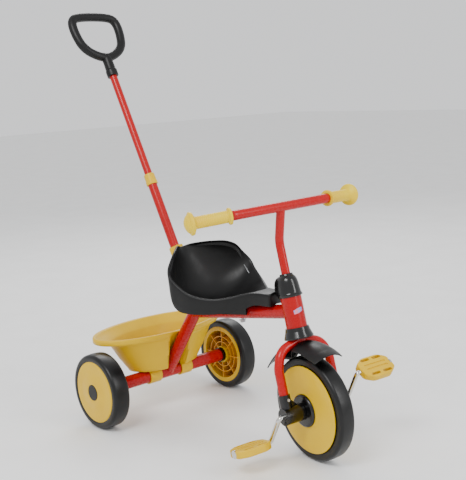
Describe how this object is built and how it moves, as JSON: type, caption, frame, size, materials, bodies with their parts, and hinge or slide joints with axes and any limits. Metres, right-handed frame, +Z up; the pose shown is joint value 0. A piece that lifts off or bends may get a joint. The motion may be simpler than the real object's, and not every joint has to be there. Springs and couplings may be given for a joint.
{
  "type": "children's tricycle",
  "caption": "Pedal tricycle with a red tube frame, black bucket seat, yellow disc wheels, tipping rear bin and a removable push bar with a D-shaped handle.",
  "frame": {"origin": "middle of the tricycle's outline on the ground", "axes": "+X forward, +Y to the rider's left, +Z up"},
  "size_m": [0.8562, 0.4492, 0.984],
  "materials": {
    "red": "gloss powder coat",
    "yellow": "satin moulded",
    "black": "satin moulded",
    "tyre": "satin foamed plastic",
    "chrome": "bright plated",
    "zinc": "zinc plated"
  },
  "bodies": {
    "frame": {"main_tube": "red", "rear_strut": "red", "axle_tube": "red", "push_bar_socket": "red", "head_tube": "red", "head_bush_lower": "black", "head_bush_upper": "black", "head_cap": "black", "head_collar": "black", "rear_axle": "zinc", "rear_push_nuts": "zinc", "axle_bush_left": "black", "axle_bush_right": "black", "seat": "black", "seat_bolt": "zinc", "bar_clip": "yellow"},
    "steering": {"fork_crown": "red", "fork_leg_left": "red", "fork_leg_right": "red", "fork_boot_left": "black", "fork_boot_right": "black", "crank_bush_left": "black", "crank_bush_right": "black", "fork_screws": "zinc", "fender": "black", "fender_screw": "zinc", "handlebar_tube": "red", "handlebar_stem": "red", "grip_left": "yellow", "grip_right": "yellow"},
    "front_wheel": {"front_tyre": "tyre", "front_disc_left": "yellow", "front_disc_right": "yellow", "hub_flange_left": "black", "hub_flange_right": "black", "crank_axle": "chrome", "pedal_nuts": "chrome"},
    "right_pedal": {"pedal_right": "yellow"},
    "left_pedal": {"pedal_left": "yellow"},
    "right_rear_wheel": {"rear_tyre_right": "tyre", "rear_disc_right": "yellow", "hub_cap_right": "black"},
    "left_rear_wheel": {"rear_tyre_left": "tyre", "rear_disc_left": "yellow", "hub_cap_left": "black"},
    "push_bar": {"push_bar_lower": "red"},
    "collar": {"clamp_collar": "yellow"},
    "push_bar_top": {"push_bar_upper": "red", "push_handle": "black"},
    "bin": {"bucket": "yellow"}
  },
  "joints": [
    {"name": "steering", "type": "hinge", "parent": "frame", "child": "steering", "pos_m": [0.26705, 0, 0.30654], "axis": [-0.23, 0, 0.9732], "range_deg": [-36.6, 53.4]},
    {"name": "front_wheel_spin", "type": "hinge", "parent": "steering", "child": "front_wheel", "pos_m": [0.31556, -0.00038, 0.11249], "axis": [0.1422, 0.9893, 0.0336], "continuous": true},
    {"name": "right_pedal_spin", "type": "hinge", "parent": "front_wheel", "child": "right_pedal", "pos_m": [0.26661, -0.14285, 0.05003], "axis": [0.1422, 0.9893, 0.0336], "continuous": true},
    {"name": "left_pedal_spin", "type": "hinge", "parent": "front_wheel", "child": "left_pedal", "pos_m": [0.36452, 0.14209, 0.17496], "axis": [0.1422, 0.9893, 0.0336], "continuous": true},
    {"name": "right_rear_wheel_spin", "type": "hinge", "parent": "frame", "child": "right_rear_wheel", "pos_m": [-0.19341, -0.1985, 0.09], "axis": [0, 1, 0], "continuous": true},
    {"name": "left_rear_wheel_spin", "type": "hinge", "parent": "frame", "child": "left_rear_wheel", "pos_m": [-0.19341, 0.1985, 0.09], "axis": [0, 1, 0], "continuous": true},
    {"name": "push_bar_lift", "type": "slide", "parent": "frame", "child": "push_bar", "axis": [-0.4524, 0, 0.8918], "range_m": [0, 0.055]},
    {"name": "push_bar_telescope", "type": "slide", "parent": "push_bar", "child": "push_bar_top", "axis": [-0.4524, 0, 0.8918], "range_m": [-0.2, 0.03]},
    {"name": "collar_twist", "type": "hinge", "parent": "push_bar", "child": "collar", "pos_m": [-0.21033, 0, 0.56543], "axis": [-0.4524, 0, 0.8918], "range_deg": [0, 60]},
    {"name": "bin_tip", "type": "hinge", "parent": "frame", "child": "bin", "pos_m": [-0.19341, 0, 0.09], "axis": [0, -1, 0], "range_deg": [0, 30]}
  ]
}
